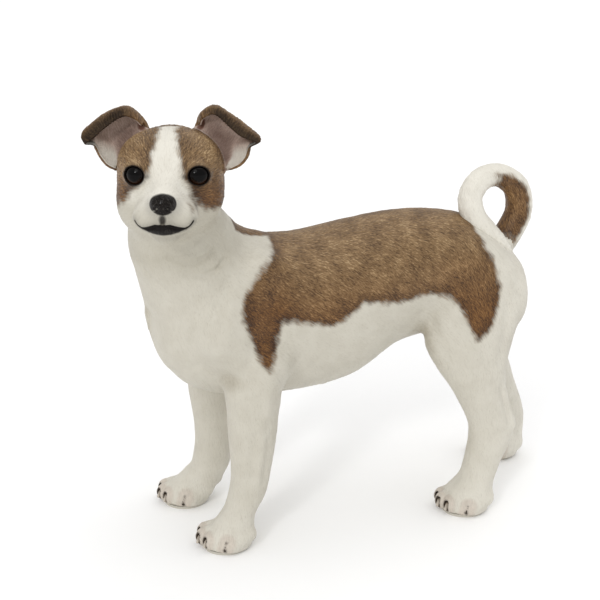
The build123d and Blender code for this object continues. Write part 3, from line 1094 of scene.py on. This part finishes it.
def plain_material(name, base, other, roughness, scale, stretch=(1, 1, 1), metallic=0.0, relief=0.2):
    """A solid material with grain: colour, roughness and bump all follow the same noise."""
    n = Nodes(name)
    at = n.vector("MULTIPLY", n.millimetres(), stretch)
    grain = n.noise(at, scale, 5.0)
    color = n.mix(grain, base, other)
    rough = n.ramp(grain, 0.2, 0.8, roughness - 0.08, roughness + 0.08)
    return n.finish(color, rough, grain, relief, 0.0003, Metallic=metallic)


coat = painted_coat()
hidden_finishes = {
    "rod_steel": plain_material(
        "zinc_plated_steel", srgb(150, 152, 155), srgb(196, 198, 200), 0.34, 0.5, (1, 1, 0.05), 1.0
    ),
    "dowel_wood": plain_material(
        "beech_dowel", srgb(178, 132, 84), srgb(214, 174, 122), 0.6, 0.6, (1, 0.12, 0.12)
    ),
    "pad_felt": plain_material("beige_felt", srgb(176, 171, 160), srgb(206, 202, 190), 0.95, 1.6, relief=0.8),
    "plug_rubber": plain_material("vent_rubber", srgb(206, 202, 192), srgb(224, 220, 210), 0.7, 1.1),
}
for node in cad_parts.values():
    for spot in node.material_slots:
        label = next((key for key in hidden_finishes if spot.material.name.startswith(key)), None)
        if label:
            spot.material = hidden_finishes[label]


# ---------- building the pieces
def masked_rows(sculpted, masks, width, depth, bald):
    """Rows for add_piece, with the coat's relief pressed in."""
    verts, normals, hair, hollow_shade = sculpted
    moved, turned_normals = with_relief(verts, normals, hair, bald, width, depth)
    return np.concatenate([moved, turned_normals, hair, np.stack([*masks, hollow_shade], 1)], 1)


def cut_away(rows, tris, cuts):
    """Apply cuts in turn. Each takes points and returns a field that is kept above zero."""
    surface, fans = tris, np.empty((0, 3), int)
    for cut in cuts:
        together = np.concatenate([surface, fans])
        rows, surface, fans = clip(rows, together, cut(rows[:, :3]), len(surface))
    return rows, surface, fans


def tail_cut(points):
    """Steps left before the tail's joint, positive away from the tail's root."""
    step, near = nearest_step(points, TAIL_LINE[: TAIL_ROOT_STEPS + 1, :3])
    return np.maximum(TAIL_JOINT - step, near - TAIL_CUT_REACH)


def above_legs(points):
    """Positive in the torso: above the leg joints, and anywhere between the legs."""
    return np.maximum(points[:, 2] - LEG_JOINT_Z, 22 - np.abs(points[:, 0]))


def neck_side(points):
    return (points - NECK_JOINT) @ NECK_AXIS


def build_torso():
    *sculpted, tris = sculpt(head_and_neck, (-75, -165, LEG_JOINT_Z - 8), (86, 214, 300), 1.3)
    verts = sculpted[0]
    none = np.zeros(len(verts))
    brown = brown_field(verts)
    at_tail = (verts[:, 1] > 170) & (verts[:, 2] > 214)
    brown = np.where(at_tail, np.maximum(brown, tail_brown(verts)), brown)
    pale = body_painted_light(verts, brown)
    pale = pale + (tail_painted_light(brown) - pale) * smooth_step(216, 228, verts[:, 2]) * at_tail
    rows = masked_rows(sculpted, (brown, none, none, none, pale), 1.3, 0.2, none)
    cuts = (above_legs, lambda p: -neck_side(p), tail_cut)
    add_piece("torso", *cut_away(rows, tris, cuts), coat, "painted_casting", "torso_shell")


def build_leg(name):
    x, y = PAWS[name]
    behind = 55 if name.startswith("rear") else 60
    low = (min(x * 0.3, x * 1.8), y - 45, -4)
    high = (max(x * 0.3, x * 1.8), y + behind, LEG_JOINT_Z + 5)
    *sculpted, tris = sculpt(folded_body, low, high, 0.8)
    verts = sculpted[0]
    none = np.zeros(len(verts))
    q = verts - np.array([x, y, 0.0])
    sockets, nail = claws(q, 1.0), claws(q)
    dark = 0.6 * band(sockets, 0.2, 1.2) * smooth_step(-0.1, 0.5, nail)
    pink = 0.3 * band(sockets, 3.0, 3.0) * smooth_step(0.0, 1.0, q[:, 2])
    bald = band(nail, 0.2, 1.0)
    pale = body_painted_light(verts, none - 30)
    rows = masked_rows(sculpted, (none - 30, dark, pink, bald * 0.5, pale), 1.2, 0.17, bald)
    cut = (lambda p: -above_legs(p),)
    add_piece(name + "_leg", *cut_away(rows, tris, cut), coat, "painted_casting", name + "_leg")


def build_head():
    *sculpted, tris = sculpt(head_and_neck, (-48, -205, 242), (122, -35, 362), 0.65)
    verts = sculpted[0]
    q = head_local(verts)
    m = mirrored(q)
    dark, wet = face_masks(q)
    distance, index = ear_nearest(q)
    t, s = SHEET_T[index], SHEET_S[index]
    lifted = np.where(distance < 6, skull(q), -9)
    leaf = smooth_step(0.0, 2.5, lifted)
    outer = smooth_step(-0.5, 0.5, ((m - SHEETS[index, :3]) * SHEETS[index, 5:]).sum(1))
    lobe = smooth_step(0.62, 0.78, t)
    margin = smooth_step(0.8, 0.96, s) * smooth_step(0.1, 0.25, t) * (1 - lobe)
    # Painted shade inside each ear near its root.
    shell = np.exp(-(((s - 0.12) / 0.22) ** 2)) * smooth_step(0.12, 0.4, t) * smooth_step(1.0, 0.8, t)
    brown = brown_field(verts)
    brown = brown * (1 - leaf) + (24 * outer - 12) * leaf
    pink = leaf * (1 - outer) * (1 - margin) * (1 - 0.85 * lobe * smooth_step(0.2, 0.5, s))
    dark = np.maximum(dark, leaf * np.maximum(0.85 * margin, 0.65 * shell * (1 - outer)))
    bald = np.maximum(wet, np.maximum(0.8 * smooth_step(0.6, 0.9, dark), pink * 0.4))
    furry = 0.15 + 0.14 * smooth_step(-2, 4, brown)
    # Painted shade on the backs of the ears.
    pale = head_painted_light(q, brown) * (1 - 0.45 * leaf * outer)
    above = smooth_step(-8, 6, neck_side(verts))
    pale = body_painted_light(verts, brown) * (1 - above) + pale * above
    rows = masked_rows(sculpted, (brown, dark, pink, wet, pale), 1.1, furry, bald)
    ear_part = np.minimum(lifted - 2.0, 4.0 - distance)
    rows = np.concatenate([rows, ear_part[:, None]], 1)
    rows, surface, fans = cut_away(rows, tris, (neck_side,))
    for name, keep in (
        ("head", lambda r: -r[:, -1]),
        ("left_ear", lambda r: np.minimum(r[:, -1], head_local(r[:, :3])[:, 0])),
        ("right_ear", lambda r: np.minimum(r[:, -1], -head_local(r[:, :3])[:, 0])),
    ):
        part = clip(rows, np.concatenate([surface, fans]), keep(rows), len(surface))
        node = "head_shell" if name == "head" else name
        add_piece(name, *part, coat, "painted_casting", node)


def build_tail():
    *sculpted, tris = sculpt(tail, (-26, 118, 190), (36, 212, 300), 0.8)
    verts = sculpted[0]
    none = np.zeros(len(verts))
    brown = tail_brown(verts)
    rows = masked_rows(sculpted, (brown, none, none, none, tail_painted_light(brown)), 1.3, 0.25, none)
    cut = (lambda p: tail_step(p) - TAIL_JOINT,)
    add_piece("tail", *cut_away(rows, tris, cut), coat, "painted_casting", "tail")


def build_eye(name, side):
    centre = np.array([side * EYE[0], EYE[1], EYE[2]])
    gaze = np.array([side * GAZE[0], GAZE[1], GAZE[2]])
    turned_points = turned_back(np.stack([centre, gaze]))
    place = (turned_points[0] + np.array(HEAD_CENTRE) + FRAME_SHIFT) / 1000
    segments = 96
    radius = EYE_RADIUS / 1000
    bpy.ops.mesh.primitive_uv_sphere_add(segments=segments, ring_count=segments // 2, radius=radius)
    eye = bpy.context.object
    eye.data.transform(Matrix.Translation(Vector(place)))
    eye.name = name
    for polygon in eye.data.polygons:
        polygon.use_smooth = True
    eye.data.materials.append(eye_material(name + "_glass", place * 1000, turned_points[1]))
    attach(eye, "root")
    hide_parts(name)


build_torso()
for leg_name in PAWS:
    build_leg(leg_name)
build_head()
build_tail()
build_eye("left_eye", 1)
build_eye("right_eye", -1)

# ---------- studio
SUBJECT = np.array([-19.3, 0.0, 180.0])
ELEVATION, AZIMUTH = radians(18), radians(-18)
DISTANCE = 996.0


def row_frame(point):
    return Vector((np.array(point, float) + FRAME_SHIFT) / 1000)


def aim(thing, target):
    thing.rotation_euler = (row_frame(target) - thing.location).to_track_quat("-Z", "Y").to_euler()


camera = bpy.data.objects.new("camera", bpy.data.cameras.new("camera"))
camera.data.lens = 72
camera.data.clip_start = 0.01
towards = np.array([cos(ELEVATION) * cos(AZIMUTH), cos(ELEVATION) * sin(AZIMUTH), sin(ELEVATION)])
camera.location = row_frame(SUBJECT + DISTANCE * towards)
bpy.context.scene.collection.objects.link(camera)
aim(camera, SUBJECT)
bpy.context.scene.camera = camera

bpy.ops.mesh.primitive_plane_add(size=80)
floor = bpy.context.object
floor.name = "floor"
floor.data.materials.append(plain_material("pale_floor", srgb(254, 254, 254), srgb(252, 252, 252), 0.8, 0.02))

for label, place, strength, spread in (
    ("key", (900, -600, 1150), 0.45, 30),
    ("glint", (1000, -900, 900), 0.5, 8),
    ("top", (-200, 400, 1600), 0.75, 70),
):
    lamp = bpy.data.objects.new(label, bpy.data.lights.new(label, "SUN"))
    lamp.data.angle = radians(spread)
    lamp.data.energy = strength
    lamp.location = row_frame(place)
    bpy.context.scene.collection.objects.link(lamp)
    aim(lamp, (0, 0, 180))

world = bpy.data.worlds.new("studio")
world.use_nodes = True
world.node_tree.nodes["Background"].inputs[0].default_value = (1, 1, 1, 1)
world.node_tree.nodes["Background"].inputs[1].default_value = 0.74
bpy.context.scene.world = world
bpy.context.scene.view_settings.view_transform = "Standard"
